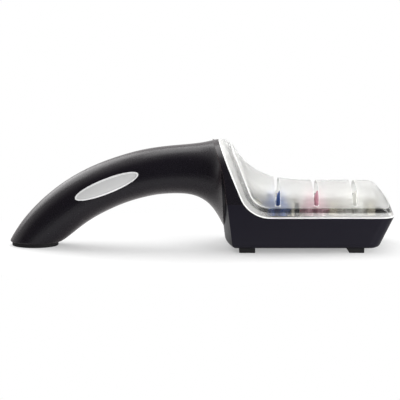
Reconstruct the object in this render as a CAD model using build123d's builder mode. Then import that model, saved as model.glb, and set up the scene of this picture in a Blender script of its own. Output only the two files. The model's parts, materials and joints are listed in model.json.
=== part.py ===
from build123d import *
import os
from math import cos, hypot, radians, sin, sqrt, tan

# A three-stage wet knife sharpener, in millimetres. +X runs from the handle's heel to the head's nose,
# +Z is up and -Y is the side with the badge. The origin is on the table, below the middle of the length.

os.makedirs("parts", exist_ok=True)

# Whole object
handle_reach = 130.8          # heel to the middle of the head's rear wall
head_length = 104.2           # rear wall of the head to the nose, at the rim
head_width = 56.0
cut_margin = 3.0              # how far a cutter runs past what it cuts

# Head, seen from the side
rim_height = 21.6             # where the cover sits on the tray
dome_height = 40.3            # cover over the wheels
crown_height = 65.8           # cover beside the handle
shoulder_height = 30.2        # joint between the handle's collar and the tray
parting_corner = 15.8         # rear wall to the corner of the parting line, along the rim
parting_radius = 20.0
parting_tilt = 22.3           # degrees, the collar's slope from upright
rear_lean = 7.2               # degrees, the rear wall from upright
rear_bulge = 4.15             # how far the rear wall's middle stands out from its side edges
nose_slant = 26.0             # degrees, the tray's front wall from upright
nose_corner_radius = 8.0
nose_drop_length = 13.0       # where the cover turns down over the nose
tray_bottom_radius = 3.6

# Cover
cover_wall = 1.6
skirt_step = 0.6              # the clear skirt stands this far outside the frosted dome
skirt_width = 7.0
cover_gap = 0.2               # all round its seat
slot_width = 3.0
slot_bottom_height = 29.2
slot_pitch = 23.3
first_slot_offset = 33.45     # rear wall to the first slot
key_rib_width = 3.6
key_rib_depth = 1.5
key_rib_height = 6.0
key_rib_offset = 1.0          # from midway between the second and third slots, towards the nose

# Tray
tray_floor = 2.4
lip_thickness = 1.1
lip_height = 6.2              # along the collar and round the parting line's corner
side_lip_height = 1.2         # beside and in front of the wheels
lip_step_offset = 27.4        # rear wall to the step between the two
lip_fit = 0.25
well_rear_offset = 17.0       # rear wall of the head to the well
well_corner_radius = 4.0
catch_height = 31.0
catch_width = 2.8
catch_root_width = 4.8
catch_root_height = 21.2
catch_thickness = 1.4
catch_hook = 1.2
catch_hook_height = 1.6
screw_bore_radius = 2.8
screw_deck = 5.2

# Feet
foot_height = 3.0
foot_recess = 1.2
foot_width = 9.0
foot_inset = 3.0              # tray side to foot
foot_fit = 0.1
foot_edge_radius = 0.5
rear_foot_offset = 10.4       # rear wall to the rear feet
rear_foot_length = 9.7
front_foot_offset = 75.2      # rear wall to the front feet
front_foot_length = 10.9
front_foot_slant = 2.0        # how far the front feet's rear side leans back

# Handle
handle_height = 65.6
grip_width = 29.6
flare_width = 53.0            # where the handle meets the head's side edges
tail_height = 12.8            # lowest point of the flare on the rear wall
collar_run_in = 4.0           # how far the flare reaches into the collar
heel_length = 31.5
heel_edge_radius = 0.6
heel_pad_height = 2.6
heel_pad_recess = 1.2
heel_pad_inset = 1.5
heel_pad_fit = 0.1

# Badge on the near flank
badge_length = 41.5
badge_width = 9.1
badge_x_share = 0.464         # of the handle's reach, from the heel
badge_height = 39.2
badge_tilt = 21.8             # degrees
badge_border = 1.0
badge_proud = 0.5
badge_field_proud = 0.1
badge_recess = 0.8
badge_fit = 0.25

# Wheels
axle_height = 22.0
axle_radius = 1.5
axle_fit = 0.05
wheel_radius = 11.8
wheel_width = 5.0
wheel_gap = 0.8               # between the two wheels of a pair, at the bottom of the V
wheel_bevel_width = 1.5
wheel_bevel_depth = 3.6
wheel_shoulder_radius = 1.9
hub_radius = 4.0
hub_rib_radius = 6.0
hub_collar_radius = 6.4
hub_collar_width = 1.5
hub_boss_radius = 2.8
hub_end_float = 0.35
cap_seat_radius = 3.2
bond_fit = 0.04               # round a bonded or pressed joint
axle_chamfer = 0.3

# Wheel carrier
bulkhead_thickness = 4.6
bulkhead_width = 13.0
bulkhead_top = 29.0
rail_outer = 16.0             # half the carrier's width
rail_thickness = 2.0
rail_height = 17.2
carrier_fit = 0.4
tab_length = 11.0
tab_thickness = 2.0
drain_height = 3.0
drain_length = 12.0
axle_end_inset = 2.0          # how far an axle's end reaches into a bulkhead

# Axle keepers
keeper_fit = 0.1
keeper_axle_gap = 0.3
keeper_head_length = 5.4
keeper_head_width = 6.0
keeper_head_height = 1.6
keeper_corner_radius = 0.6

# Screws that hold the handle on the tray
screw_radius = 1.5
screw_clearance = 0.15
screw_head_radius = 2.5
screw_head_height = 1.8
screw_engagement = 4.0
screw_spacing = 13.0
screw_offset = 7.0            # rear wall to the screws' line
screw_recess_width = 1.0
screw_recess_depth = 0.9

# Places worked out from the sizes above
heel_x = -(handle_reach + head_length) / 2
rear_x = heel_x + handle_reach
nose_x = rear_x + head_length
half_width = head_width / 2
skirt_wall = skirt_step + cover_wall
tray_wall = skirt_wall + lip_fit + lip_thickness
well_rear_x = rear_x + well_rear_offset
well_floor_height = foot_height + tray_floor
slot_xs = [rear_x + first_slot_offset + slot_pitch * stage for stage in range(3)]
bulkhead_xs = [slot_xs[0] + slot_pitch * (stage - 1 / 2) for stage in range(4)]
catch_x = bulkhead_xs[1]
lip_step_x = rear_x + lip_step_offset
key_rib_x = bulkhead_xs[2] + key_rib_offset
slope = (sin(radians(parting_tilt)), cos(radians(parting_tilt)))


def rear_wall_x(z):
    """The middle of the head's rear wall, which leans towards the handle."""
    return rear_x - (z - rim_height) * tan(radians(rear_lean))


def nose_wall_x(z):
    """The tray's front wall slants back under the rim."""
    return nose_x + (z - rim_height) * tan(radians(nose_slant))


# Ridge of the cover: place along the head, and height between dome and crown
ridge_shares = [
    (-0.075, 0.99), (-0.045, 0.99), (-0.018, 0.995), (0.008, 1.0), (0.036, 0.95), (0.066, 0.865),
    (0.10, 0.685), (0.14, 0.485), (0.20, 0.285), (0.28, 0.125), (0.38, 0.04), (0.52, 0.0), (0.72, 0.0),
    (0.84, -0.005),
]
# Nose of the cover: place along the turn down, and height between rim and dome
nose_shares = [(0.12, 0.955), (0.42, 0.79), (0.70, 0.53), (0.90, 0.25), (1.0, 0.02)]
arch_rise_share = 0.52        # of the height over the rim, the part that is rounded


def head_stations(inset):
    """Places, half widths and ridge heights of the head's sections, all set in by one distance."""
    corner_x = nose_x - nose_corner_radius
    outline = [
        (rear_x + head_length * place, dome_height + (crown_height - dome_height) * height)
        for place, height in ridge_shares
    ]
    outline += [
        (nose_x - nose_drop_length * (1 - place), rim_height + (dome_height - rim_height) * height)
        for place, height in nose_shares
    ]
    stations = []
    for index, (x, z) in enumerate(outline):
        before = outline[max(index - 1, 0)]
        after = outline[min(index + 1, len(outline) - 1)]
        run, rise = after[0] - before[0], after[1] - before[1]
        span = hypot(run, rise)
        inner_x, inner_z = x + inset * rise / span, z - inset * run / span
        if index == len(outline) - 1:  # the tip stands on the rim, so it is only set back
            inner_x, inner_z = x - inset, z
        past_corner = max(inner_x - corner_x, 0)
        corner = nose_corner_radius - inset
        round_in = corner - sqrt(max(corner**2 - past_corner**2, 0))
        stations.append((inner_x, half_width - inset - round_in, inner_z))
    return stations


def head_form(inset):
    """The head's outer form over the rim, as one loft of round-topped sections."""
    base = rim_height - cut_margin
    with BuildPart() as form:
        for x, half, ridge in head_stations(inset):
            spring = rim_height + (1 - arch_rise_share) * (ridge - rim_height)
            with BuildSketch(Plane.YZ.offset(x)):
                with BuildLine():
                    Line((-half, base), (half, base))
                    Line((half, base), (half, spring))
                    EllipticalCenterArc((0, spring), half, ridge - spring, start_angle=0, arc_size=180)
                    Line((-half, spring), (-half, base))
                make_face()
        loft()
    return form.part


def parting_side(offset):
    """Everything on the cover's side of the parting line, which is moved into the cover by an offset."""
    corner = (
        rear_x + parting_corner + offset * (1 - slope[0]) / slope[1],
        rim_height + offset,
    )
    radius = parting_radius - offset
    reach = radius * tan(radians(90 - parting_tilt) / 2)
    top = crown_height + cut_margin
    arc_start = (corner[0] - reach * slope[0], corner[1] + reach * slope[1])
    arc_end = (corner[0] + reach, corner[1])
    slope_top = (corner[0] - (top - corner[1]) * slope[0] / slope[1], top)
    front = nose_wall_x(top)
    with BuildPart() as side:
        with BuildSketch(Plane.XZ):
            with BuildLine():
                Line(slope_top, arc_start)
                TangentArc(arc_start, arc_end, tangent=(slope[0], -slope[1]))
                Polyline(arc_end, (front, corner[1]), (front, top), slope_top)
            make_face()
        extrude(amount=half_width + cut_margin, both=True)
    return side.part


def tray_form(inset, bottom, top, rear_at, rear_radius):
    """The tray's form between two heights, with its walls set in by one distance."""
    with BuildPart() as form:
        for z in (bottom, top):
            rear = rear_at(z)
            front = nose_wall_x(z) - inset / cos(radians(nose_slant))
            side = half_width - inset
            nose_radius = nose_corner_radius - inset
            with BuildSketch(Plane.XY.offset(z)):
                with BuildLine():
                    Line((rear + rear_radius, -side), (front - nose_radius, -side))
                    TangentArc((front - nose_radius, -side), (front, nose_radius - side), tangent=(1, 0))
                    Line((front, nose_radius - side), (front, side - nose_radius))
                    TangentArc((front, side - nose_radius), (front - nose_radius, side), tangent=(0, 1))
                    Line((front - nose_radius, side), (rear + rear_radius, side))
                    TangentArc((rear + rear_radius, side), (rear, side - rear_radius), tangent=(-1, 0))
                    Line((rear, side - rear_radius), (rear, rear_radius - side))
                    TangentArc((rear, rear_radius - side), (rear + rear_radius, -side), tangent=(0, -1))
                make_face()
        loft(ruled=True)
    return form.part


def block_rear_at(z):
    """The tray's block starts behind its rear wall, which is cut afterwards."""
    return rear_wall_x(z) - cut_margin


def well_rear_at(z):
    """The well's own rear wall is upright."""
    return well_rear_x


# Sections of the handle from heel to head: upper point and lower point, each as a place along the reach
# and a height; then the taper of the grip's width, and how far the flare has opened
grip_shares = [
    ((0.047, 0.194), (0.282, 0.091), 0.84, 0.0),
    ((0.133, 0.394), (0.351, 0.200), 0.90, 0.0),
    ((0.248, 0.586), (0.431, 0.301), 0.96, 0.0),
    ((0.389, 0.747), (0.522, 0.387), 1.0, 0.0),
    ((0.558, 0.870), (0.629, 0.457), 1.0, 0.0),
    ((0.743, 0.941), (0.766, 0.496), 0.99, 0.0),
    ((0.857, 0.962), (0.854, 0.486), 1.0, 0.04),
    ((0.926, 0.981), (0.926, 0.423), 1.0, 0.26),
    ((0.968, 0.999), (0.976, 0.310), 1.0, 0.58),
]
heel_taper_share = 0.81
grip_middle_share = 0.5       # where a section is widest, from its lower point
flare_middle_share = 0.56


def grip_sections():
    """Upper point, lower point, half width and widest place of each section of the handle."""
    sections = [(
        (heel_x, heel_pad_height), (heel_x + heel_length, heel_pad_height),
        heel_taper_share * grip_width / 2, grip_middle_share,
    )]
    for upper, lower, taper, flare in grip_shares:
        half = (1 - flare) * taper * grip_width / 2 + flare * flare_width / 2
        middle = (1 - flare) * grip_middle_share + flare * flare_middle_share
        high = (heel_x + handle_reach * upper[0], handle_height * upper[1])
        low = (heel_x + handle_reach * lower[0], handle_height * lower[1])
        sections.append((high, low, half, middle))
    sections.append((
        (rear_wall_x(handle_height) + rear_bulge, handle_height), (rear_wall_x(tail_height), tail_height),
        flare_width / 2, flare_middle_share,
    ))
    return sections


def section_outline(high, low, half, middle, inset):
    """A face across the handle, between its upper and lower points: two half ellipses."""
    depth = hypot(high[0] - low[0], high[1] - low[1])
    up = ((high[0] - low[0]) / depth, (high[1] - low[1]) / depth)
    origin = (low[0] + (high[0] - low[0]) * middle, 0, low[1] + (high[1] - low[1]) * middle)
    above = (1 - middle) * depth - inset
    below = middle * depth - inset
    with BuildSketch(Plane(origin=origin, x_dir=(0, 1, 0), z_dir=(up[1], 0, -up[0]))) as outline:
        with BuildLine():
            EllipticalCenterArc((0, 0), half - inset, above, start_angle=0, arc_size=180)
            EllipticalCenterArc((0, 0), half - inset, below, start_angle=180, arc_size=180)
        make_face()
    return outline.sketch


def grip_form(inset):
    """The arch of the handle from its heel to the head, set in by one distance."""
    with BuildPart() as form:
        loft([section_outline(*section, inset).face() for section in grip_sections()])
    return form.part


def side_prism(shape_length, shape_height, depth):
    """An oval prism through the near flank, on the badge's centre and tilt."""
    centre = (heel_x + handle_reach * badge_x_share, 0, badge_height)
    with BuildPart() as prism:
        with BuildSketch(Plane(origin=centre, x_dir=(1, 0, 0), z_dir=(0, -1, 0))):
            Ellipse(shape_length / 2, shape_height / 2, rotation=badge_tilt)
        extrude(amount=depth)
    return prism.part


def turned(centre_x, points):
    """A solid turned about the axle line, from a closed outline of places along it and radii."""
    with BuildPart() as solid:
        with BuildSketch(Plane(origin=(centre_x, 0, axle_height), x_dir=(1, 0, 0), z_dir=(0, -1, 0))):
            with BuildLine():
                Polyline(*points, close=True)
            make_face()
        revolve(axis=Axis((centre_x, 0, axle_height), (1, 0, 0)))
    return solid.part


# Forms that several pieces share
head_outer = head_form(0)
cover_side = parting_side(0)
lip_outer = head_form(skirt_wall + lip_fit)
lip_inner = head_form(tray_wall)
lip_top = parting_side(lip_height)
heel_pad_length = heel_length - 2 * heel_pad_inset
heel_pad_width = heel_taper_share * grip_width - 2 * heel_pad_inset
heel_centre = (heel_x + heel_length / 2, 0)
screw_places = [(rear_x + screw_offset, side * screw_spacing / 2) for side in (-1, 1)]
deck_underside = shoulder_height - screw_deck
feet = {
    "foot_rear_near": (rear_x + rear_foot_offset, rear_foot_length, 0, -1),
    "foot_rear_far": (rear_x + rear_foot_offset, rear_foot_length, 0, 1),
    "foot_front_near": (rear_x + front_foot_offset, front_foot_length, front_foot_slant, -1),
    "foot_front_far": (rear_x + front_foot_offset, front_foot_length, front_foot_slant, 1),
}
foot_line = half_width - foot_inset - foot_width / 2
catch_outer = half_width - tray_wall
catch_inner = catch_outer - catch_thickness
tab_reach = catch_inner - carrier_fit

# The raised lip that stands inside the cover's skirt, on the tray and on the collar
with BuildPart() as lip:
    add(lip_outer)
    add(lip_inner, mode=Mode.SUBTRACT)
    add(cover_side, mode=Mode.INTERSECT)
    add(lip_top, mode=Mode.SUBTRACT)
    with BuildSketch(Plane.XY.offset(rim_height)):
        with Locations((key_rib_x, 0)):
            Rectangle(key_rib_width + 2 * carrier_fit, head_width)
    extrude(amount=lip_height + cut_margin, mode=Mode.SUBTRACT)
    with BuildSketch(Plane.XY.offset(rim_height + side_lip_height)):
        with Locations((lip_step_x, 0)):
            Rectangle(nose_x - lip_step_x, head_width, align=(Align.MIN, Align.CENTER))
    extrude(amount=lip_height + cut_margin, mode=Mode.SUBTRACT)

# Catch fingers on the tray's walls, with hooks over the wheel carrier's tabs
with BuildPart() as catches:
    with BuildSketch(Plane.YZ.offset(catch_x)):
        with BuildLine():
            Polyline(
                (-catch_outer, catch_height), (-catch_inner, catch_height),
                (-catch_inner, rail_height + carrier_fit + catch_hook_height + catch_hook),
                (catch_hook - catch_inner, rail_height + carrier_fit + catch_hook_height),
                (catch_hook - catch_inner, rail_height + carrier_fit),
                (-catch_inner, rail_height + carrier_fit),
                (-catch_inner, rail_height - catch_root_width),
                (-catch_outer - catch_thickness / 2, rail_height - catch_root_width),
                (-catch_outer - catch_thickness / 2, rim_height - cover_gap),
                (-catch_outer, rim_height - cover_gap), close=True,
            )
        make_face()
    extrude(amount=catch_width / 2, both=True)
    with BuildSketch(Plane.YZ.offset(catch_x)):
        with Locations((-(catch_inner + catch_outer) / 2, rail_height - catch_root_width)):
            Rectangle(catch_thickness, catch_root_height - rail_height + catch_root_width,
                      align=(Align.CENTER, Align.MIN))
    extrude(amount=catch_root_width / 2, both=True)
    mirror(about=Plane.XZ)

# Everything behind the head's rear wall, which leans and is an arc seen from above
with BuildPart() as behind_head:
    overrun = half_width + cut_margin
    arc_radius = (half_width**2 + rear_bulge**2) / (2 * rear_bulge)
    arc_depth = arc_radius - sqrt(arc_radius**2 - overrun**2)
    for z in (0, crown_height + cut_margin):
        rear = rear_wall_x(z)
        with BuildSketch(Plane.XY.offset(z)):
            with BuildLine():
                ThreePointArc((rear + arc_depth, -overrun), (rear, 0), (rear + arc_depth, overrun))
                Polyline((rear + arc_depth, overrun), (heel_x, overrun), (heel_x, -overrun),
                         (rear + arc_depth, -overrun))
            make_face()
    loft(ruled=True)

# Outer block of the tray, up to the joint with the handle's collar
with BuildPart() as shoulder_block:
    add(tray_form(0, foot_height, shoulder_height, block_rear_at, well_corner_radius))
    add(behind_head.part, mode=Mode.SUBTRACT)
    fillet(shoulder_block.edges().group_by(Axis.Z)[0], radius=tray_bottom_radius)

# Base tray: water well, lip, catches, bores for the screws and seats for the feet
with BuildPart() as base_tray:
    add(shoulder_block.part)
    add(cover_side, mode=Mode.SUBTRACT)
    add(tray_form(tray_wall, well_floor_height, shoulder_height, well_rear_at, well_corner_radius),
        mode=Mode.SUBTRACT)
    add(split(lip.part, bisect_by=Plane.XY.offset(shoulder_height), keep=Keep.BOTTOM, mode=Mode.PRIVATE))
    add(catches.part)
    with BuildSketch(Plane.XY.offset(foot_height)):
        with Locations(*screw_places):
            Circle(screw_bore_radius)
    extrude(amount=deck_underside - foot_height, mode=Mode.SUBTRACT)
    with BuildSketch(Plane.XY.offset(deck_underside)):
        with Locations(*screw_places):
            Circle(screw_radius + screw_clearance)
    extrude(amount=screw_deck, mode=Mode.SUBTRACT)
    with BuildSketch(Plane.XY.offset(foot_height)):
        for rear, foot_length, slant, side in feet.values():
            with Locations((rear + foot_length / 2, side * foot_line)):
                Rectangle(foot_length + 2 * foot_fit, foot_width + 2 * foot_fit)
    extrude(amount=foot_recess, mode=Mode.SUBTRACT)
base_tray.part.label = "base_tray"
export_step(base_tray.part, "parts/base_tray.step")

# Feet: rubber blocks pressed into the tray's underside
for name, (rear, foot_length, slant, side) in feet.items():
    with BuildPart() as foot:
        with BuildSketch(Plane.XZ.offset(-side * foot_line)):
            with BuildLine():
                Polyline(
                    (rear + slant, 0), (rear + foot_length, 0),
                    (rear + foot_length, foot_height + foot_recess), (rear, foot_height + foot_recess),
                    (rear, foot_height), close=True,
                )
            make_face()
        extrude(amount=foot_width / 2, both=True)
        fillet(foot.edges().group_by(Axis.Z)[0], radius=foot_edge_radius)
    foot.part.label = name
    export_step(foot.part, f"parts/{name}.step")

# Collar: the wedge of the head between its rear wall and the cover's slope
with BuildPart() as collar:
    add(head_outer)
    split(bisect_by=Plane.XY.offset(shoulder_height), keep=Keep.TOP)
    add(behind_head.part, mode=Mode.SUBTRACT)
    add(cover_side, mode=Mode.SUBTRACT)

# Handle: the arch, its flare into the head, and the collar that the cover leans on
with BuildPart() as handle:
    add(grip_form(0))
    fillet(handle.edges().group_by(Axis.Z)[0], radius=heel_edge_radius)
    extrude(section_outline(*grip_sections()[-1], 0), amount=collar_run_in)
    add(cover_side, mode=Mode.SUBTRACT)
    add(collar.part)
    add(shoulder_block.part, mode=Mode.SUBTRACT)
    add(split(lip.part, bisect_by=Plane.XY.offset(shoulder_height), keep=Keep.TOP, mode=Mode.PRIVATE))
    add(side_prism(badge_length + 2 * badge_fit, badge_width + 2 * badge_fit, grip_width)
        - grip_form(badge_recess), mode=Mode.SUBTRACT)
    with BuildSketch(Plane.XY.offset(heel_pad_height)):
        with Locations(heel_centre):
            Ellipse(heel_pad_length / 2 + heel_pad_fit, heel_pad_width / 2 + heel_pad_fit)
    extrude(amount=heel_pad_recess, mode=Mode.SUBTRACT)
    with BuildSketch(Plane.XY.offset(shoulder_height)):
        with Locations(*screw_places):
            Circle(screw_radius + bond_fit)
    extrude(amount=screw_engagement + screw_clearance, mode=Mode.SUBTRACT)
handle.part.label = "handle"
export_step(handle.part, "parts/handle.step")

# Heel pad: rubber, let into the handle's end
with BuildPart() as heel_pad:
    with BuildSketch():
        with Locations(heel_centre):
            Ellipse(heel_pad_length / 2, heel_pad_width / 2)
    extrude(amount=heel_pad_height + heel_pad_recess)
    fillet(heel_pad.edges().group_by(Axis.Z)[0], radius=foot_edge_radius)
heel_pad.part.label = "heel_pad"
export_step(heel_pad.part, "parts/heel_pad.step")

# Badge: a bare oval plate with a raised border, bent to the handle's flank
with BuildPart() as badge:
    add(side_prism(badge_length, badge_width, grip_width))
    add(grip_form(-badge_proud), mode=Mode.INTERSECT)
    add(grip_form(badge_recess), mode=Mode.SUBTRACT)
    add(side_prism(badge_length - 2 * badge_border, badge_width - 2 * badge_border, grip_width)
        - grip_form(-badge_field_proud), mode=Mode.SUBTRACT)
badge.part.label = "badge"
export_step(badge.part, "parts/badge.step")

# Screws up through the tray's deck into the handle
with BuildPart() as handle_screws:
    with BuildSketch(Plane.XY.offset(deck_underside)):
        with Locations(*screw_places):
            Circle(screw_radius)
    extrude(amount=screw_deck + screw_engagement)
    with BuildSketch(Plane.XY.offset(deck_underside)):
        with Locations(*screw_places):
            Circle(screw_head_radius)
    extrude(amount=-screw_head_height)
    with BuildSketch(Plane.XY.offset(deck_underside - screw_head_height)):
        with Locations(*screw_places):
            Rectangle(screw_head_radius, screw_recess_width)
            Rectangle(screw_recess_width, screw_head_radius)
    extrude(amount=screw_recess_depth, mode=Mode.SUBTRACT)
handle_screws.part.label = "handle_screws"
export_step(handle_screws.part, "parts/handle_screws.step")

# Cover: frosted dome with a clear skirt one step outside it, three knife slots and two key ribs
with BuildPart() as dome:
    add(head_form(skirt_step))
    add(parting_side(skirt_width), mode=Mode.INTERSECT)
with BuildPart() as cover:
    add(head_outer)
    add(parting_side(cover_gap), mode=Mode.INTERSECT)
    add(parting_side(skirt_width), mode=Mode.SUBTRACT)
    add(dome.part)
    add(head_form(skirt_wall), mode=Mode.SUBTRACT)
    with BuildSketch(Plane.XZ):
        for slot_x in slot_xs:
            with Locations((slot_x, slot_bottom_height + slot_width / 2)):
                Circle(slot_width / 2)
                Rectangle(slot_width, dome_height, align=(Align.CENTER, Align.MIN))
    extrude(amount=half_width + cut_margin, both=True, mode=Mode.SUBTRACT)
    with BuildSketch(Plane.XY.offset(rim_height + cover_gap)):
        rib_line = half_width - skirt_step - (key_rib_depth + cover_wall) / 2
        for side in (-1, 1):
            with Locations((key_rib_x, side * rib_line)):
                Rectangle(key_rib_width, key_rib_depth + cover_wall)
    extrude(amount=key_rib_height)
cover.part.label = "cover"
export_step(cover.part, "parts/cover.step")

# Wheel carrier: two rails, four bulkheads with open saddles for the axles, and a tab under each catch
with BuildPart() as wheel_carrier:
    rail_start = bulkhead_xs[0] - bulkhead_thickness / 2
    rail_end = bulkhead_xs[-1] + bulkhead_thickness / 2
    with BuildSketch(Plane.XY.offset(well_floor_height)):
        with Locations(((rail_start + rail_end) / 2, 0)):
            Rectangle(rail_end - rail_start, 2 * rail_outer)
        for slot_x in slot_xs:
            with Locations((slot_x, 0)):
                Rectangle(slot_pitch - bulkhead_thickness, 2 * (rail_outer - rail_thickness),
                          mode=Mode.SUBTRACT)
    extrude(amount=rail_height - well_floor_height)
    with BuildSketch(Plane.XY.offset(rail_height)):
        for bulkhead_x in bulkhead_xs:
            with Locations((bulkhead_x, 0)):
                Rectangle(bulkhead_thickness, bulkhead_width)
    extrude(amount=bulkhead_top - rail_height)
    with BuildSketch(Plane.XY.offset(rail_height)):
        with Locations((catch_x, 0)):
            Rectangle(tab_length, 2 * tab_reach)
            Rectangle(tab_length + rail_thickness, 2 * rail_outer, mode=Mode.SUBTRACT)
    extrude(amount=-tab_thickness)
    with BuildSketch(Plane.XZ):
        for slot_x in slot_xs:
            with Locations((slot_x, well_floor_height)):
                Rectangle(drain_length, drain_height, align=(Align.CENTER, Align.MIN))
    extrude(amount=rail_outer + cut_margin, both=True, mode=Mode.SUBTRACT)
    with BuildSketch(Plane.YZ.offset(rail_start - cut_margin)):
        with Locations((0, axle_height)):
            Circle(axle_radius + axle_fit)
            Rectangle(2 * (axle_radius + axle_fit), bulkhead_top, align=(Align.CENTER, Align.MIN))
    extrude(amount=rail_end - rail_start + 2 * cut_margin, mode=Mode.SUBTRACT)
    well_space = tray_form(
        tray_wall + carrier_fit, well_floor_height, bulkhead_top, well_rear_at, well_corner_radius)
    add(well_space, mode=Mode.INTERSECT)
wheel_carrier.part.label = "wheel_carrier"
export_step(wheel_carrier.part, "parts/wheel_carrier.step")

# Axle keepers: plugs that close the saddles over the ends of the axles
with BuildPart() as axle_keepers:
    stem_bottom = axle_height + axle_radius + keeper_axle_gap
    keeper_places = [(bulkhead_x, 0) for bulkhead_x in bulkhead_xs]
    with BuildSketch(Plane.XY.offset(stem_bottom)):
        with Locations(*keeper_places):
            Rectangle(bulkhead_thickness, 2 * (axle_radius + axle_fit - keeper_fit))
    extrude(amount=bulkhead_top - stem_bottom)
    with BuildSketch(Plane.XY.offset(bulkhead_top)):
        with Locations(*keeper_places):
            RectangleRounded(keeper_head_length, keeper_head_width, keeper_corner_radius)
    extrude(amount=keeper_head_height)
axle_keepers.part.label = "axle_keepers"
export_step(axle_keepers.part, "parts/axle_keepers.step")

# Wheel units: an axle, a hub with one collar, an end cap, and a pair of bevelled wheels
wheel_inner = wheel_gap / 2
wheel_outer = wheel_inner + wheel_width
collar_outer = wheel_outer + hub_collar_width
boss_end = (slot_pitch - bulkhead_thickness) / 2 - hub_end_float
bore = axle_radius + bond_fit
wheel_bore = hub_radius + bond_fit
axle_half = (slot_pitch - bulkhead_thickness) / 2 + axle_end_inset
for stage, slot_x in zip(("coarse", "medium", "fine"), slot_xs):
    with BuildPart() as axle:
        add(turned(slot_x, [
            (-axle_half, 0), (axle_half, 0), (axle_half, axle_radius - axle_chamfer),
            (axle_half - axle_chamfer, axle_radius), (axle_chamfer - axle_half, axle_radius),
            (-axle_half, axle_radius - axle_chamfer),
        ]))
    axle.part.label = f"{stage}_axle"
    export_step(axle.part, f"parts/{stage}_axle.step")

    with BuildPart() as hub:
        add(turned(slot_x, [
            (-boss_end, bore), (boss_end, bore), (boss_end, hub_boss_radius),
            (collar_outer, hub_boss_radius), (collar_outer, cap_seat_radius),
            (wheel_outer, cap_seat_radius), (wheel_outer, hub_radius), (wheel_inner, hub_radius),
            (wheel_inner, hub_rib_radius), (-wheel_inner, hub_rib_radius), (-wheel_inner, hub_radius),
            (-wheel_outer, hub_radius), (-wheel_outer, hub_collar_radius),
            (-collar_outer, hub_collar_radius), (-collar_outer, hub_boss_radius),
            (-boss_end, hub_boss_radius),
        ]))
    hub.part.label = f"{stage}_hub"
    export_step(hub.part, f"parts/{stage}_hub.step")

    with BuildPart() as end_cap:
        add(turned(slot_x, [
            (wheel_outer, cap_seat_radius + bond_fit), (collar_outer, cap_seat_radius + bond_fit),
            (collar_outer, hub_collar_radius), (wheel_outer, hub_collar_radius),
        ]))
    end_cap.part.label = f"{stage}_end_cap"
    export_step(end_cap.part, f"parts/{stage}_end_cap.step")

    for place, side in (("rear", -1), ("front", 1)):
        with BuildPart() as wheel:
            plane = Plane(origin=(slot_x, 0, axle_height), x_dir=(1, 0, 0), z_dir=(0, -1, 0))
            with BuildSketch(plane):
                with BuildLine():
                    Polyline(
                        (side * (wheel_outer - wheel_shoulder_radius), wheel_radius),
                        (side * (wheel_inner + wheel_bevel_width), wheel_radius),
                        (side * wheel_inner, wheel_radius - wheel_bevel_depth),
                        (side * wheel_inner, wheel_bore), (side * wheel_outer, wheel_bore),
                        (side * wheel_outer, wheel_radius - wheel_shoulder_radius),
                    )
                    TangentArc(
                        (side * wheel_outer, wheel_radius - wheel_shoulder_radius),
                        (side * (wheel_outer - wheel_shoulder_radius), wheel_radius), tangent=(0, 1),
                    )
                make_face()
            revolve(axis=Axis((slot_x, 0, axle_height), (1, 0, 0)))
        wheel.part.label = f"{stage}_{place}_wheel"
        export_step(wheel.part, f"parts/{stage}_{place}_wheel.step")
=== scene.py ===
"""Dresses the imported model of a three-stage wet knife sharpener and sets it in a plain studio.

Lengths are in metres unless a name ends in _mm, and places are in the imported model's own frame: +X runs
from the handle's heel to the nose of the head, -Y is the side with the badge and +Z is up.
"""

import json
import logging
import math
from dataclasses import dataclass
from enum import Enum

import bpy
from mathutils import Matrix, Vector

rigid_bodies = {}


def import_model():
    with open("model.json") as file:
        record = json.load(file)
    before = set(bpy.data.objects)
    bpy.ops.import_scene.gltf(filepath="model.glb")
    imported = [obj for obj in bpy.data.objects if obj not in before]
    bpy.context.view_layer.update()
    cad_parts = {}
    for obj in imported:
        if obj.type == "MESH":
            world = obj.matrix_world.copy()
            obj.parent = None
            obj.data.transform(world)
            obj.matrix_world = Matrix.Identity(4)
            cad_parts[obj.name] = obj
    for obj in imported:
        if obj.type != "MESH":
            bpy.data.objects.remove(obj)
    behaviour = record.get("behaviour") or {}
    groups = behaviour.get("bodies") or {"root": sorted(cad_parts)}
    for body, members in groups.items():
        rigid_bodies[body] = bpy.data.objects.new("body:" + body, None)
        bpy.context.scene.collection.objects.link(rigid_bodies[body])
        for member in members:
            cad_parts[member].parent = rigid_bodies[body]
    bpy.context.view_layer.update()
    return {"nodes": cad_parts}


# Red, green, blue and alpha, all linear
Colour = tuple[float, float, float, float]
# Pairs of a distance in millimetres and the level there, in rising order
Bands = tuple[tuple[float, float], ...]
Point = tuple[float, float, float]

MM = 0.001
BLACK: Colour = (0.0, 0.0, 0.0, 1.0)
WHITE: Colour = (1.0, 1.0, 1.0, 1.0)
# The Mix node's sockets for colours, whose names it also gives to its sockets for numbers
MIX_FACTOR, MIX_FIRST, MIX_SECOND, MIX_RESULT = 0, 6, 7, 2
# The sum of two noises lies mostly between these
NOISES_LOW, NOISES_HIGH = 0.6, 1.4
# Rays with which a rounded edge is found
EDGE_SAMPLES = 6
LOG = logging.getLogger("sharpener")


def linear(hex_colour: str) -> Colour:
    """Turns an sRGB hex colour into a linear colour, with the constants of the sRGB standard.

    Args:
        hex_colour: Six hex digits after a hash sign.

    Returns:
        The linear red, green and blue, and an alpha of one.
    """
    channels = [int(hex_colour[place:place + 2], 16) / 255 for place in (1, 3, 5)]
    values = [c / 12.92 if c <= 0.04045 else ((c + 0.055) / 1.055) ** 2.4 for c in channels]
    return (*values, 1.0)


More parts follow.
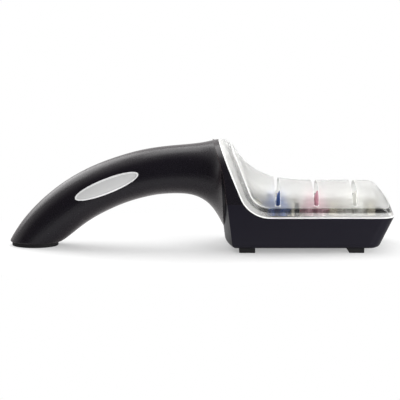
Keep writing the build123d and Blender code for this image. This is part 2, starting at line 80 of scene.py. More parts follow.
def add_node(tree: bpy.types.NodeTree, kind: str, inputs: dict[int | str, object] | None = None,
             **settings: object) -> bpy.types.Node:
    """Adds one node with its settings, its input values and its links.

    Args:
        tree: The node tree that gets the node.
        kind: The node's type name.
        inputs: For each socket, by name or index, a value to set, an output socket to link from, or a node
            whose first output is linked.
        **settings: The node's own properties.

    Returns:
        The new node.
    """
    node = tree.nodes.new(kind)
    for name, setting in settings.items():
        setattr(node, name, setting)
    for socket, value in (inputs or {}).items():
        if isinstance(value, bpy.types.Node):
            value = value.outputs[0]
        if isinstance(value, bpy.types.NodeSocket):
            tree.links.new(value, node.inputs[socket])
        else:
            node.inputs[socket].default_value = value
    return node


def banded(tree: bpy.types.NodeTree, distance: bpy.types.Node, bands: Bands) -> bpy.types.Node:
    """Gives a level to each place by its distance from a line.

    Args:
        tree: The node tree.
        distance: The node that gives the distance, in metres.
        bands: The levels by distance.

    Returns:
        The node that gives the level.
    """
    reach = bands[-1][0]
    fraction = add_node(tree, "ShaderNodeMath", {0: distance, 1: reach * MM}, operation="DIVIDE")
    ramp = add_node(tree, "ShaderNodeValToRGB", {0: fraction})
    steps = ramp.color_ramp.elements
    # A ramp starts with two steps, and a new one may lie anywhere until it gets its place below
    while len(steps) < len(bands):
        steps.new(0.5)
    for step, (place, level) in zip(steps, bands):
        step.position = place / reach
        step.color = (level, level, level, 1.0)
    return ramp


def per_mm(size_mm: float) -> float:
    """The scale of a pattern whose features measure size_mm, for coordinates in metres."""
    return 1 / (size_mm * MM)


class Shade(Enum):
    """The stages' colours: abrasive wheel, then the tinted plastic of its hub."""

    BLUE = ("#5a76b4", "#7690c4")
    PINK = ("#e0aebd", "#e8c2ce")
    WHITE = ("#f2f1ec", "#f3f3ef")


@dataclass(frozen=True)
class Finish:
    """A surface finish: the real material, and what its grain does to the light.

    Attributes:
        name: The real material's common name.
        colour: Its colour, as an sRGB hex value.
        roughness: Its mean roughness.
        rough_swing: How far the grain and a wider cloud swing the roughness either way.
        grain_mm: Size of the grain's features.
        relief_mm: How far the grain lifts the surface.
        patch_mm: Size of the cloud's features.
        specular: The specular level.
        metallic: The share of bare metal.
        edge_mm: The radius with which edges look rounded.
        sheen: Strength of the bloom at grazing angles.
        sheen_colour: The bloom's colour, as an sRGB hex value.
    """

    name: str
    colour: str
    roughness: float
    rough_swing: float = 0.04
    grain_mm: float = 0.5
    relief_mm: float = 0.01
    patch_mm: float = 9.0
    specular: float = 0.5
    metallic: float = 0.0
    edge_mm: float = 0.0
    sheen: float = 0.0
    sheen_colour: str = "#ffffff"

    def noise(self, tree: bpy.types.NodeTree, size_mm: float, layers: float = 2.0) -> bpy.types.Node:
        """Lays a noise over the object's own coordinates.

        Args:
            tree: The material's node tree.
            size_mm: Size of the noise's features.
            layers: How many finer layers the noise has.

        Returns:
            The node that gives the noise's value, from zero to one.
        """
        place = add_node(tree, "ShaderNodeTexCoord").outputs["Object"]
        inputs = {"Vector": place, "Scale": per_mm(size_mm), "Detail": layers}
        return add_node(tree, "ShaderNodeTexNoise", inputs)

    def rough_node(self, tree: bpy.types.NodeTree) -> bpy.types.Node:
        """Varies the roughness with the grain and the cloud.

        Args:
            tree: The material's node tree.

        Returns:
            The node that gives the roughness.
        """
        noises = {0: self.noise(tree, self.grain_mm), 1: self.noise(tree, self.patch_mm)}
        both = add_node(tree, "ShaderNodeMath", noises, operation="ADD")
        return add_node(tree, "ShaderNodeMapRange", {
            "Value": both, "From Min": NOISES_LOW, "From Max": NOISES_HIGH,
            "To Min": self.roughness - self.rough_swing, "To Max": self.roughness + self.rough_swing,
        })

    def normal_node(self, tree: bpy.types.NodeTree) -> bpy.types.Node:
        """Lays the grain's relief over edges that look rounded.

        Args:
            tree: The material's node tree.

        Returns:
            The node that gives the surface's direction.
        """
        inputs = {"Height": self.noise(tree, self.grain_mm), "Distance": self.relief_mm * MM, "Strength": 1.0}
        if self.edge_mm > 0:
            radius = {"Radius": self.edge_mm * MM}
            inputs["Normal"] = add_node(tree, "ShaderNodeBevel", radius, samples=EDGE_SAMPLES)
        return add_node(tree, "ShaderNodeBump", inputs)

    def dress(self, tree: bpy.types.NodeTree, shader: bpy.types.Node) -> None:
        """Adds what one kind of finish has beyond the common values."""

    def material(self) -> bpy.types.Material:
        """Makes the material, or finds it when it is there already.

        Returns:
            The material.
        """
        found = bpy.data.materials.get(self.name)
        if found is not None:
            return found
        material = bpy.data.materials.new(self.name)
        material.use_nodes = True
        tree = material.node_tree
        tree.nodes.clear()
        shader = add_node(tree, "ShaderNodeBsdfPrincipled", {
            "Base Color": linear(self.colour), "Metallic": self.metallic,
            "Roughness": self.rough_node(tree), "Normal": self.normal_node(tree),
            "Specular IOR Level": self.specular,
            "Sheen Weight": self.sheen, "Sheen Tint": linear(self.sheen_colour),
        })
        self.dress(tree, shader)
        add_node(tree, "ShaderNodeOutputMaterial", {"Surface": shader})
        return material


@dataclass(frozen=True)
class Ceramic(Finish):
    """Vitrified ceramic, pressed and fired: grains of two tones in a matt bond.

    Attributes:
        grain_share: How much darker and lighter than the mean the grains are.
        grain_layers: How many finer layers the grains' pattern has.
    """

    grain_share: float = 0.16
    grain_layers: float = 4.0

    def dress(self, tree: bpy.types.NodeTree, shader: bpy.types.Node) -> None:
        """Varies the colour from grain to grain.

        Args:
            tree: The material's node tree.
            shader: Its shader node.
        """
        colour = linear(self.colour)
        dark = tuple(value * (1 - self.grain_share) for value in colour[:3]) + (1.0,)
        light = tuple(min(value * (1 + self.grain_share), 1.0) for value in colour[:3]) + (1.0,)
        grains = self.noise(tree, self.grain_mm, self.grain_layers)
        inputs = {MIX_FACTOR: grains, MIX_FIRST: dark, MIX_SECOND: light}
        tones = add_node(tree, "ShaderNodeMix", inputs, data_type="RGBA")
        tree.links.new(tones.outputs[MIX_RESULT], shader.inputs["Base Color"])


@dataclass(frozen=True)
class BadgePlate(Finish):
    """Pressed plate with a bright border round a satin oval field.

    Attributes:
        border_colour: The border's colour, as an sRGB hex value.
        centre_x_mm: X of the plate's middle.
        centre_z_mm: Z of the plate's middle.
        tilt_deg: How far the plate's length is tilted from the level.
        field_length_mm: Length of the field within the border.
        field_width_mm: Width of the field.
        border_start: Where the border starts, as a share of the way from the middle to the field's rim.
        border_end: Where it reaches its full colour, as the same share.
    """

    border_colour: str = "#fbfbfb"
    centre_x_mm: float = -56.8
    centre_z_mm: float = 39.2
    tilt_deg: float = 21.8
    field_length_mm: float = 39.5
    field_width_mm: float = 7.1
    border_start: float = 0.99
    border_end: float = 1.02

    def on_border(self, tree: bpy.types.NodeTree) -> bpy.types.Node:
        """Tells the border from the field by the oval's own formula.

        Args:
            tree: The material's node tree.

        Returns:
            The node that gives one on the border and zero on the field.
        """
        place = add_node(tree, "ShaderNodeTexCoord").outputs["Object"]
        to_middle = (-self.centre_x_mm * MM, 0.0, -self.centre_z_mm * MM)
        centred = add_node(tree, "ShaderNodeVectorMath", {0: place, 1: to_middle}, operation="ADD")
        turned = add_node(tree, "ShaderNodeVectorRotate", {
            "Vector": centred, "Angle": math.radians(self.tilt_deg),
        }, rotation_type="Y_AXIS")
        scale = (2 / (self.field_length_mm * MM), 0.0, 2 / (self.field_width_mm * MM))
        oval = add_node(tree, "ShaderNodeVectorMath", {0: turned, 1: scale}, operation="MULTIPLY")
        reach = add_node(tree, "ShaderNodeVectorMath", {0: oval}, operation="LENGTH").outputs["Value"]
        return add_node(tree, "ShaderNodeMapRange", {
            "Value": reach, "From Min": self.border_start, "From Max": self.border_end,
        })

    def dress(self, tree: bpy.types.NodeTree, shader: bpy.types.Node) -> None:
        """Brightens the border.

        Args:
            tree: The material's node tree.
            shader: Its shader node.
        """
        tones = add_node(tree, "ShaderNodeMix", {
            MIX_FACTOR: self.on_border(tree),
            MIX_FIRST: linear(self.colour), MIX_SECOND: linear(self.border_colour),
        }, data_type="RGBA")
        tree.links.new(tones.outputs[MIX_RESULT], shader.inputs["Base Color"])


@dataclass(frozen=True)
class FrostedCover(Finish):
    """Injection-moulded clear SAN: the tool is etched over the dome and polished along the skirt.

    The skirt is a band beside the parting line, which runs level along the rim, turns up through an arc
    and climbs the collar's slope. The wall is faintly milky, and the rim, the step between skirt and dome,
    the lips of the slots and the crown are drawn milky white as painted highlights, with a painted glow
    along the skirt's foot towards the nose. A band along the level skirt has the plastic's colour dimmed as
    painted shade. The roughness is the dome's own, and patch_mm isn't used.

    Attributes:
        slope_milk_and_highlights: The milky level by distance from the parting line, on the slope: faint
            milkiness, with painted highlights along the edge and at the step.
        rim_milk_and_highlights: The same along the level rim.
        painted_front_glow: What a bead along the skirt's foot adds towards the nose.
        painted_shade_band: The share of the plastic's colour that is left along the rim, by the same
            distance.
        skirt_rough: The skirt's roughness, by the same distance.
        dome_start_mm: The distance from which the dome's roughness holds.
        reach_mm: The distance at which all bands end.
        slope_start_mm: X from which the slope's levels give way to the rim's.
        slope_end_mm: X from which only the rim's levels hold.
        glow_start_mm: X from which the painted glow comes in.
        glow_end_mm: X from which it has its full level.
        rim_mm: Height of the level rim.
        arc_x_mm: X of the arc's centre.
        arc_radius_mm: The arc's radius.
        tilt_deg: How far the slope leans from the upright.
        slot_x_mm: X of the first slot's middle.
        slot_pitch_mm: Distance from slot to slot.
        slot_bottom_mm: Height at which the slots end.
        slot_reach_mm: Distance from a slot's middle up to which its lips carry the painted highlight.
        slot_highlight: The lips' painted highlight, drawn as a milky level.
        crown_start_mm: Height from which the crown's haze comes in.
        crown_end_mm: Height from which it has its full level.
        crown_highlight: The crown's milky level.
        ior: The index of refraction. It is below SAN's 1.57, which weakens what the wall reflects and bends.
    """

    # Faint milkiness by distance from the parting line, with painted highlights along the edge and at the
    # step
    slope_milk_and_highlights: Bands = (
        (0.0, 0.2), (0.2, 0.85), (0.8, 0.85), (1.05, 0.36), (3.3, 0.3), (3.8, 0.12), (6.0, 0.14),
        (6.3, 0.6), (6.9, 0.6), (7.1, 0.09), (9.0, 0.08),
    )
    rim_milk_and_highlights: Bands = (
        (0.0, 0.2), (0.2, 0.7), (0.65, 0.7), (0.9, 0.12), (1.3, 0.07), (3.6, 0.05), (4.4, 0.01),
        (5.9, 0.01), (6.8, 0.12), (9.0, 0.08),
    )
    # A painted glow along the skirt's foot, faded in towards the nose
    painted_front_glow: Bands = ((0.0, 0.0), (0.9, 0.0), (1.2, 0.2), (3.2, 0.2), (3.7, 0.0), (9.0, 0.0))
    # Painted shade: the plastic's colour dimmed in a band along the level skirt
    painted_shade_band: Bands = ((0.0, 1.0), (3.3, 1.0), (3.8, 0.54), (6.0, 0.48), (6.7, 1.0), (9.0, 1.0))
    skirt_rough: Bands = ((0.0, 0.3), (0.9, 0.3), (1.2, 0.16), (5.7, 0.15))
    dome_start_mm: float = 6.8
    reach_mm: float = 9.0
    slope_start_mm: float = 34.0
    slope_end_mm: float = 44.0
    glow_start_mm: float = 50.0
    glow_end_mm: float = 76.0
    rim_mm: float = 21.6
    arc_x_mm: float = 42.51
    arc_radius_mm: float = 20.0
    tilt_deg: float = 22.3
    slot_x_mm: float = 46.75
    slot_pitch_mm: float = 23.3
    slot_bottom_mm: float = 29.1
    slot_reach_mm: float = 1.75
    # Painted highlight on the slots' lips
    slot_highlight: float = 0.5
    crown_start_mm: float = 33.0
    crown_end_mm: float = 39.0
    # Painted highlight on the crown, where the light falls from above
    crown_highlight: float = 0.17
    ior: float = 1.4

    def along(self, tree: bpy.types.NodeTree, axis: str) -> bpy.types.NodeSocket:
        """The object's own coordinate along one axis."""
        place = add_node(tree, "ShaderNodeTexCoord").outputs["Object"]
        return add_node(tree, "ShaderNodeSeparateXYZ", {0: place}).outputs[axis]

    def risen(self, tree: bpy.types.NodeTree, axis: str, start_mm: float, end_mm: float,
              top: float = 1.0) -> bpy.types.Node:
        """Lets a level rise from zero between two places along an axis.

        Args:
            tree: The material's node tree.
            axis: The axis.
            start_mm: Where the level starts to rise.
            end_mm: Where it reaches its top.
            top: The level there.

        Returns:
            The node that gives the level.
        """
        return add_node(tree, "ShaderNodeMapRange", {
            "Value": self.along(tree, axis),
            "From Min": start_mm * MM, "From Max": end_mm * MM, "To Max": top,
        })

    def parting_distance(self, tree: bpy.types.NodeTree) -> bpy.types.Node:
        """Measures how far a place is from the parting line into the cover.

        Args:
            tree: The material's node tree.

        Returns:
            The node that gives the distance, in metres.
        """
        centre_z = (self.rim_mm + self.arc_radius_mm) * MM
        from_centre = {0: self.arc_x_mm * MM, 1: self.along(tree, "X")}
        back = add_node(tree, "ShaderNodeMath", from_centre, operation="SUBTRACT")
        down = add_node(tree, "ShaderNodeMath", {0: centre_z, 1: self.along(tree, "Z")}, operation="SUBTRACT")
        angle = add_node(tree, "ShaderNodeMath", {0: back, 1: down}, operation="ARCTAN2")
        limits = {"Value": angle, "Min": 0.0, "Max": math.radians(90 - self.tilt_deg)}
        turned = add_node(tree, "ShaderNodeClamp", limits)
        sine = add_node(tree, "ShaderNodeMath", {0: turned}, operation="SINE")
        cosine = add_node(tree, "ShaderNodeMath", {0: turned}, operation="COSINE")
        level = add_node(tree, "ShaderNodeMath", {0: back, 1: sine}, operation="MULTIPLY")
        upright = add_node(tree, "ShaderNodeMath", {0: down, 1: cosine}, operation="MULTIPLY")
        reach = add_node(tree, "ShaderNodeMath", {0: level, 1: upright}, operation="ADD")
        to_line = {0: self.arc_radius_mm * MM, 1: reach}
        return add_node(tree, "ShaderNodeMath", to_line, operation="SUBTRACT")

    def skirt_milk_and_highlights(self, tree: bpy.types.NodeTree) -> bpy.types.Node:
        """Adds up the skirt's milky levels and painted highlights: the slope's, the rim's and the painted
        glow's.

        Args:
            tree: The material's node tree.

        Returns:
            The node that gives the level.
        """
        distance = self.parting_distance(tree)
        on_rim = self.risen(tree, "X", self.slope_start_mm, self.slope_end_mm)
        on_slope = add_node(tree, "ShaderNodeMath", {0: 1.0, 1: on_rim}, operation="SUBTRACT")
        in_front = self.risen(tree, "X", self.glow_start_mm, self.glow_end_mm)
        shares = ((self.slope_milk_and_highlights, on_slope), (self.rim_milk_and_highlights, on_rim), (self.painted_front_glow, in_front))
        # Painted highlights and the painted glow, each on its own stretch of the skirt
        slope, rim, nose_glow = [
            add_node(tree, "ShaderNodeMath", {
                0: banded(tree, distance, milk_and_highlights), 1: share,
            }, operation="MULTIPLY")
            for milk_and_highlights, share in shares
        ]
        line = add_node(tree, "ShaderNodeMath", {0: slope, 1: rim}, operation="ADD")
        return add_node(tree, "ShaderNodeMath", {0: line, 1: nose_glow}, operation="ADD")

    def slot_lips(self, tree: bpy.types.NodeTree) -> bpy.types.Node:
        """Finds the slots' cut faces.

        Args:
            tree: The material's node tree.

        Returns:
            The node that gives the lips' painted highlight there, as a milky level, and zero elsewhere.
        """
        place = self.along(tree, "X")
        half = self.slot_pitch_mm * MM / 2
        first = (self.slot_x_mm - self.slot_pitch_mm / 2) * MM
        offset = add_node(tree, "ShaderNodeMath", {0: place, 1: self.slot_x_mm * MM}, operation="SUBTRACT")
        within = add_node(tree, "ShaderNodeMath", {0: offset, 1: half, 2: -half}, operation="WRAP")
        away = add_node(tree, "ShaderNodeMath", {0: within}, operation="ABSOLUTE")
        near = add_node(tree, "ShaderNodeMath", {0: away, 1: self.slot_reach_mm * MM}, operation="LESS_THAN")
        height = {0: self.along(tree, "Z"), 1: self.slot_bottom_mm * MM}
        high = add_node(tree, "ShaderNodeMath", height, operation="GREATER_THAN")
        past = add_node(tree, "ShaderNodeMath", {0: place, 1: first}, operation="GREATER_THAN")
        near_and_high = add_node(tree, "ShaderNodeMath", {0: near, 1: high}, operation="MULTIPLY")
        there = add_node(tree, "ShaderNodeMath", {0: near_and_high, 1: past}, operation="MULTIPLY")
        # The slots' lips get a painted highlight, drawn milky
        return add_node(tree, "ShaderNodeMath", {0: there, 1: self.slot_highlight}, operation="MULTIPLY")

    def shaded_tint(self, tree: bpy.types.NodeTree) -> bpy.types.NodeSocket:
        """Dims the plastic's colour in a band along the level skirt: painted shade.

        Args:
            tree: The material's node tree.

        Returns:
            The colour's socket.
        """
        on_rim = self.risen(tree, "X", self.slope_start_mm, self.slope_end_mm)
        on_slope = add_node(tree, "ShaderNodeMath", {0: 1.0, 1: on_rim}, operation="SUBTRACT")
        # Painted shade: a band of dimmed colour along the level skirt
        dimmed = banded(tree, self.parting_distance(tree), self.painted_shade_band)
        kept = add_node(tree, "ShaderNodeMath", {0: dimmed, 1: on_slope}, operation="MAXIMUM")
        inputs = {MIX_FACTOR: kept, MIX_FIRST: BLACK, MIX_SECOND: linear(self.colour)}
        return add_node(tree, "ShaderNodeMix", inputs, data_type="RGBA").outputs[MIX_RESULT]

    def rough_node(self, tree: bpy.types.NodeTree) -> bpy.types.Node:
        """Makes the skirt polished and the dome etched, with the grain over both.

        Args:
            tree: The material's node tree.

        Returns:
            The node that gives the roughness.
        """
        dome = ((self.dome_start_mm, self.roughness), (self.reach_mm, self.roughness))
        levels = banded(tree, self.parting_distance(tree), self.skirt_rough + dome)
        grain = add_node(tree, "ShaderNodeMapRange", {
            "Value": self.noise(tree, self.grain_mm), "To Min": -self.rough_swing, "To Max": self.rough_swing,
        })
        return add_node(tree, "ShaderNodeMath", {0: levels, 1: grain}, operation="ADD")

    def dress(self, tree: bpy.types.NodeTree, shader: bpy.types.Node) -> None:
        """Lets light through the plastic, less where it is milky or drawn milky as painted highlights.

        Args:
            tree: The material's node tree.
            shader: Its shader node.
        """
        # The edges, the slots' lips and the crown are drawn milky as painted highlights
        edges = {0: self.skirt_milk_and_highlights(tree), 1: self.slot_lips(tree)}
        edge_highlights = add_node(tree, "ShaderNodeMath", edges, operation="MAXIMUM")
        crown = self.risen(tree, "Z", self.crown_start_mm, self.crown_end_mm, self.crown_highlight)
        milk_and_highlights = add_node(tree, "ShaderNodeMath", {0: edge_highlights, 1: crown}, operation="MAXIMUM")
        clear = add_node(tree, "ShaderNodeMath", {0: 1.0, 1: milk_and_highlights}, operation="SUBTRACT")
        tree.links.new(clear.outputs[0], shader.inputs["Transmission Weight"])
        tree.links.new(self.shaded_tint(tree), shader.inputs["Base Color"])
        shader.inputs["IOR"].default_value = self.ior


# The real grains of these surfaces, of about 0.02 to 0.2 mm, are too fine to show, so they are drawn at 0.3
# to 0.8 mm.
# Satin ABS with a fine spark-eroded texture: broad soft highlights and a warm grey bloom at the edges
HANDLE_BLACK = Finish("Satin black ABS", "#0f0d14", 0.27, grain_mm=0.6, relief_mm=0.006, specular=0.33,
                      edge_mm=0.25, sheen=0.12, sheen_colour="#c4a6a4")
# The same ABS from a tool with a coarser texture: more matt and a little bluer
TRAY_BLACK = Finish("Textured black ABS", "#15131d", 0.38, grain_mm=0.6, relief_mm=0.006, specular=0.2,
                    edge_mm=0.3)
# Moulded thermoplastic rubber: matt, soft and slightly mottled
RUBBER = Finish("Moulded rubber", "#141315", 0.72, rough_swing=0.08, grain_mm=0.8, relief_mm=0.02,
                specular=0.3, edge_mm=0.3)
# Aluminium plate, pressed, satin etched and lacquered: silver with a soft bright border
SATIN_ALUMINIUM = BadgePlate("Satin aluminium", "#dadada", 0.4, rough_swing=0.06, grain_mm=0.5,
                             relief_mm=0.006, metallic=0.4, edge_mm=0.15)
# Cold-drawn stainless steel: bright, with an uneven gloss
STAINLESS = Finish("Drawn stainless steel", "#b9b7b2", 0.25, rough_swing=0.08, grain_mm=0.3, relief_mm=0.003,
                   metallic=1.0)
# Natural acetal: ivory, waxy, half matt
IVORY_ACETAL = Finish("Natural acetal", "#f1ebd9", 0.42, grain_mm=0.7, relief_mm=0.01, edge_mm=0.2)
# Glass-filled nylon: dark grey with a dull bloom
GREY_NYLON = Finish("Grey nylon", "#4a4a4d", 0.55, grain_mm=0.6, relief_mm=0.01, edge_mm=0.2)
# Clear SAN from an etched tool: what lies behind it glows softly, and its edges carry painted highlights
COVER_PLASTIC = FrostedCover("Frosted clear SAN", "#fdfdfb", 0.32, rough_swing=0.008, grain_mm=0.4,
                             relief_mm=0.0003)


def hub_finish(shade: Shade) -> Finish:
    """Tinted nylon of a stage's hub and end cap: smooth, with a soft highlight."""
    return Finish(f"Tinted nylon {shade.name.lower()}", shade.value[1], 0.38, grain_mm=0.5, relief_mm=0.006,
                  edge_mm=0.15)


def wheel_finish(shade: Shade) -> Ceramic:
    """Vitrified ceramic of a stage's wheels: matt, with grit of 0.1 mm that is drawn at 0.35 mm."""
    return Ceramic(f"Vitrified ceramic {shade.name.lower()}", shade.value[0], 0.68, rough_swing=0.1,
                   grain_mm=0.35, relief_mm=0.05, specular=0.35)


@dataclass
class SubAssembly:
    """A group of CAD nodes that are dressed together.

    Attributes:
        nodes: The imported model's objects, by node name.
    """

    nodes: dict[str, bpy.types.Object]

    def coat(self, finish: Finish, *names: str) -> None:
        """Gives nodes a finish.

        Args:
            finish: The finish.
            *names: The nodes' names.
        """
        material = finish.material()
        for name in names:
            for slot in self.nodes[name].material_slots:
                slot.material = material
            LOG.info("%s: %s", name, finish.name)

    def build(self) -> None:
        """Dresses the group's pieces, which each kind of group does in its own way."""
        raise NotImplementedError


@dataclass
class HandleGroup(SubAssembly):
    """The arched handle with its heel pad, badge and screws."""

    def build(self) -> None:
        """Dresses the handle's pieces."""
        self.coat(HANDLE_BLACK, "handle")
        self.coat(RUBBER, "heel_pad")
        self.coat(SATIN_ALUMINIUM, "badge")
        self.coat(STAINLESS, "handle_screws")


@dataclass
class TrayGroup(SubAssembly):
    """The base tray and its four feet."""

    def build(self) -> None:
        """Dresses the tray's pieces."""
        self.coat(TRAY_BLACK, "base_tray")
        for end in ("rear", "front"):
            for side in ("near", "far"):
                self.coat(RUBBER, f"foot_{end}_{side}")


@dataclass
class CoverGroup(SubAssembly):
    """The frosted cover with its clear skirt."""

    def build(self) -> None:
        """Dresses the cover."""
        self.coat(COVER_PLASTIC, "cover")


@dataclass
class CarrierGroup(SubAssembly):
    """The wheel carrier and the keepers over its axle saddles."""

    def build(self) -> None:
        """Dresses the carrier's pieces."""
        self.coat(IVORY_ACETAL, "wheel_carrier")
        self.coat(GREY_NYLON, "axle_keepers")


@dataclass
class WheelUnit(SubAssembly):
    """One stage: an axle, a hub, an end cap and two abrasive wheels.

    Attributes:
        stage: The stage's name, which its nodes' names start with.
        shade: The stage's colours.
    """

    stage: str
    shade: Shade

    def build(self) -> None:
        """Dresses the stage's pieces."""
        self.coat(STAINLESS, f"{self.stage}_axle")
        self.coat(hub_finish(self.shade), f"{self.stage}_hub", f"{self.stage}_end_cap")
        self.coat(wheel_finish(self.shade), f"{self.stage}_rear_wheel", f"{self.stage}_front_wheel")


@dataclass(frozen=True)
class Softbox:
    """A square lamp.

    Attributes:
        name: The lamp's name.
        place: Where it hangs.
        side: Length of its side.
        power: Its power in watts.
    """

    name: str
    place: Point
    side: float
    power: float

    def hang(self, aim: Point) -> None:
        """Hangs the lamp.

        Args:
            aim: The point that it faces.
        """
        data = bpy.data.lights.new(self.name, "AREA")
        data.shape = "SQUARE"
        data.size = self.side
        data.energy = self.power
        lamp = bpy.data.objects.new(self.name, data)
        bpy.context.scene.collection.objects.link(lamp)
        lamp.location = self.place
        lamp.rotation_euler = (Vector(aim) - Vector(self.place)).to_track_quat("-Z", "Y").to_euler()


@dataclass
class Studio:
    """A pale floor, soft lights and a camera at the photograph's angle.

    Attributes:
        aim: The point that the camera and the lamps face.
        distance: From that point to the camera.
        elevation_deg: How far the camera looks down.
        field_width: Width of the view at that point, which sets the lens.
        sensor_mm: Width of the camera's sensor.
        softboxes: The lamps: a key above, a fill beside the nose and one behind the handle.
        ambient: The world's level for diffuse light.
        floor_size: Side of the floor's square.
        paper: The floor's colour, as an sRGB hex value.
        floor_glow: How far the floor is white to the eye even within the shadow.
        shadow_shape: Scales of the floor's directions, for the oval in which the shadow is kept.
        fade_start: Distance in that oval from which the shadow fades into white.
        fade_end: Distance at which it is gone.
        unlit_side: Level of the room behind the camera, as reflections show it.
        room_unlit: Y of a direction in which reflections show only that side.
        room_lit: Y of a direction from which on they show the lit room.
        floor_unlit: Y at which the mirrored floor is as dark as that side.
        floor_lit: Y from which on it is lit.
        floor_mirrored: Level of the lit floor in reflections.
    """

    aim: Point = (-0.00005, 0.0, 0.02816)
    distance: float = 1.2
    elevation_deg: float = 10.3
    field_width: float = 0.2462
    sensor_mm: float = 36.0
    softboxes: tuple[Softbox, ...] = (
        Softbox("softbox_above", (0.15, 0.45, 1.3), 1.0, 9.5),
        Softbox("softbox_nose", (0.42, -0.42, 0.12), 0.25, 2.2),
        Softbox("softbox_behind", (-0.72, 0.74, 0.82), 1.0, 9.0),
    )
    ambient: float = 0.76
    floor_size: float = 16.0
    paper: str = "#e8e8e8"
    floor_glow: float = 0.33
    shadow_shape: Point = (0.6, 1.0, 1.0)
    fade_start: float = 0.05
    fade_end: float = 0.11
    unlit_side: float = 0.05
    room_unlit: float = -0.5
    room_lit: float = 0.0
    floor_unlit: float = -0.18
    floor_lit: float = -0.02
    floor_mirrored: float = 0.52

    def camera(self) -> None:
        """Sets up the camera."""
        tilt = math.radians(self.elevation_deg)
        data = bpy.data.cameras.new("studio_camera")
        data.sensor_width = self.sensor_mm
        data.lens = self.sensor_mm * self.distance / self.field_width
        camera = bpy.data.objects.new("studio_camera", data)
        bpy.context.scene.collection.objects.link(camera)
        offset = Vector((0.0, -math.cos(tilt), math.sin(tilt))) * self.distance
        camera.location = Vector(self.aim) + offset
        camera.rotation_euler = (math.radians(90) - tilt, 0.0, 0.0)
        bpy.context.scene.camera = camera

    def seen_as_white(self, tree: bpy.types.NodeTree) -> bpy.types.Node:
        """Finds the rays that show a background: straight, mirrored or through clear plastic.

        Args:
            tree: The node tree.

        Returns:
            The node that gives one for such rays.
        """
        path = add_node(tree, "ShaderNodeLightPath").outputs
        rays = {0: path["Is Camera Ray"], 1: path["Is Glossy Ray"]}
        direct = add_node(tree, "ShaderNodeMath", rays, operation="MAXIMUM")
        through = {0: direct, 1: path["Is Transmission Ray"]}
        return add_node(tree, "ShaderNodeMath", through, operation="MAXIMUM")

    def lit_in_mirrors(self, tree: bpy.types.NodeTree, depth: bpy.types.NodeSocket, unlit: float,
                       lit: float, bright: float = 1.0) -> bpy.types.Node:
        """Dims the room's unlit side, where the camera stands, in reflections alone.

        Args:
            tree: The node tree.
            depth: How far back a place or direction lies.
            unlit: The depth at which the room is unlit.
            lit: The depth at which it is fully lit.
            bright: The level there.

        Returns:
            The node that gives the level.
        """
        level = add_node(tree, "ShaderNodeMapRange", {
            "Value": depth, "From Min": unlit, "From Max": lit, "To Min": self.unlit_side, "To Max": bright,
        })
        path = add_node(tree, "ShaderNodeLightPath").outputs
        # A ray through rough plastic counts as glossy too, but it isn't a reflection
        rays = {0: path["Is Glossy Ray"], 1: path["Is Transmission Ray"]}
        mirrored = add_node(tree, "ShaderNodeMath", rays, operation="GREATER_THAN")
        other = add_node(tree, "ShaderNodeMath", {0: 1.0, 1: mirrored}, operation="SUBTRACT")
        return add_node(tree, "ShaderNodeMath", {0: level, 1: other}, operation="MAXIMUM")

    def world(self) -> None:
        """Lights the scene evenly, and shows white behind the object."""
        world = bpy.data.worlds.new("studio_world")
        world.use_nodes = True
        bpy.context.scene.world = world
        tree = world.node_tree
        tree.nodes.clear()
        level = add_node(tree, "ShaderNodeMapRange", {
            "Value": self.seen_as_white(tree), "To Min": self.ambient, "To Max": 1.0,
        })
        direction = add_node(tree, "ShaderNodeTexCoord").outputs["Generated"]
        depth = add_node(tree, "ShaderNodeSeparateXYZ", {0: direction}).outputs["Y"]
        lit = self.lit_in_mirrors(tree, depth, self.room_unlit, self.room_lit)
        strength = add_node(tree, "ShaderNodeMath", {0: level, 1: lit}, operation="MULTIPLY")
        background = add_node(tree, "ShaderNodeBackground", {"Strength": strength, "Color": WHITE})
        add_node(tree, "ShaderNodeOutputWorld", {"Surface": background})

    def floor_material(self) -> bpy.types.Material:
        """Makes paper that keeps the object's shadow and fades into the white background.

        Returns:
            The floor's material.
        """
        material = bpy.data.materials.new("White studio paper")
        material.use_nodes = True
        tree = material.node_tree
        tree.nodes.clear()
        place = add_node(tree, "ShaderNodeTexCoord").outputs["Object"]
        shape = {0: place, 1: self.shadow_shape}
        oval = add_node(tree, "ShaderNodeVectorMath", shape, operation="MULTIPLY")
        away = add_node(tree, "ShaderNodeVectorMath", {0: oval}, operation="LENGTH").outputs["Value"]
        fade = add_node(tree, "ShaderNodeMapRange", {
            "Value": away, "From Min": self.fade_start, "From Max": self.fade_end, "To Min": self.floor_glow,
        })
        rays = self.seen_as_white(tree)
        shown = add_node(tree, "ShaderNodeMath", {0: fade, 1: rays}, operation="MULTIPLY")
        paper = add_node(tree, "ShaderNodeBsdfDiffuse", {"Color": linear(self.paper)})
        depth = add_node(tree, "ShaderNodeSeparateXYZ", {0: place}).outputs["Y"]
        lit = self.lit_in_mirrors(tree, depth, self.floor_unlit, self.floor_lit, self.floor_mirrored)
        white = add_node(tree, "ShaderNodeEmission", {"Color": WHITE, "Strength": lit})
        mix = add_node(tree, "ShaderNodeMixShader", {0: shown, 1: paper, 2: white})
        add_node(tree, "ShaderNodeOutputMaterial", {"Surface": mix})
        return material

    def floor(self) -> None:
        """Lays the floor."""
        half = self.floor_size / 2
        mesh = bpy.data.meshes.new("studio_floor")
        corners = [(-half, -half, 0), (half, -half, 0), (half, half, 0), (-half, half, 0)]
        mesh.from_pydata(corners, [], [(0, 1, 2, 3)])
        mesh.materials.append(self.floor_material())
        floor = bpy.data.objects.new("studio_floor", mesh)
        bpy.context.scene.collection.objects.link(floor)

    def build(self) -> None:
        """Sets up the camera, the world, the floor and the lamps."""
        self.camera()
        self.world()
        self.floor()
        for softbox in self.softboxes:
            softbox.hang(self.aim)
        bpy.context.scene.view_settings.view_transform = "Standard"


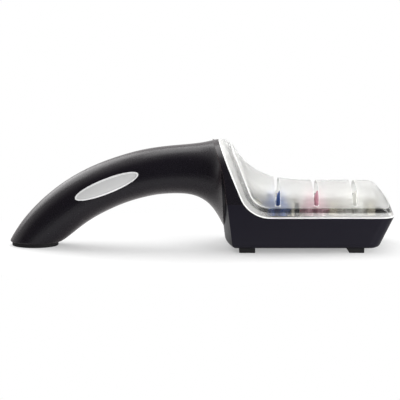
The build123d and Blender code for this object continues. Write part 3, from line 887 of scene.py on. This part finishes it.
def main() -> None:
    """Dresses the model and sets up the studio."""
    logging.basicConfig(level=logging.INFO, format="%(message)s")
    for leftover in list(bpy.data.objects):
        bpy.data.objects.remove(leftover)
    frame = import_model()
    nodes = frame["nodes"]
    groups: list[SubAssembly] = [HandleGroup(nodes), TrayGroup(nodes), CoverGroup(nodes), CarrierGroup(nodes)]
    stages = zip(("coarse", "medium", "fine"), Shade)
    groups += [WheelUnit(nodes, stage, shade) for stage, shade in stages]
    for group in groups:
        group.build()
    Studio().build()


if __name__ == "__main__":
    main()
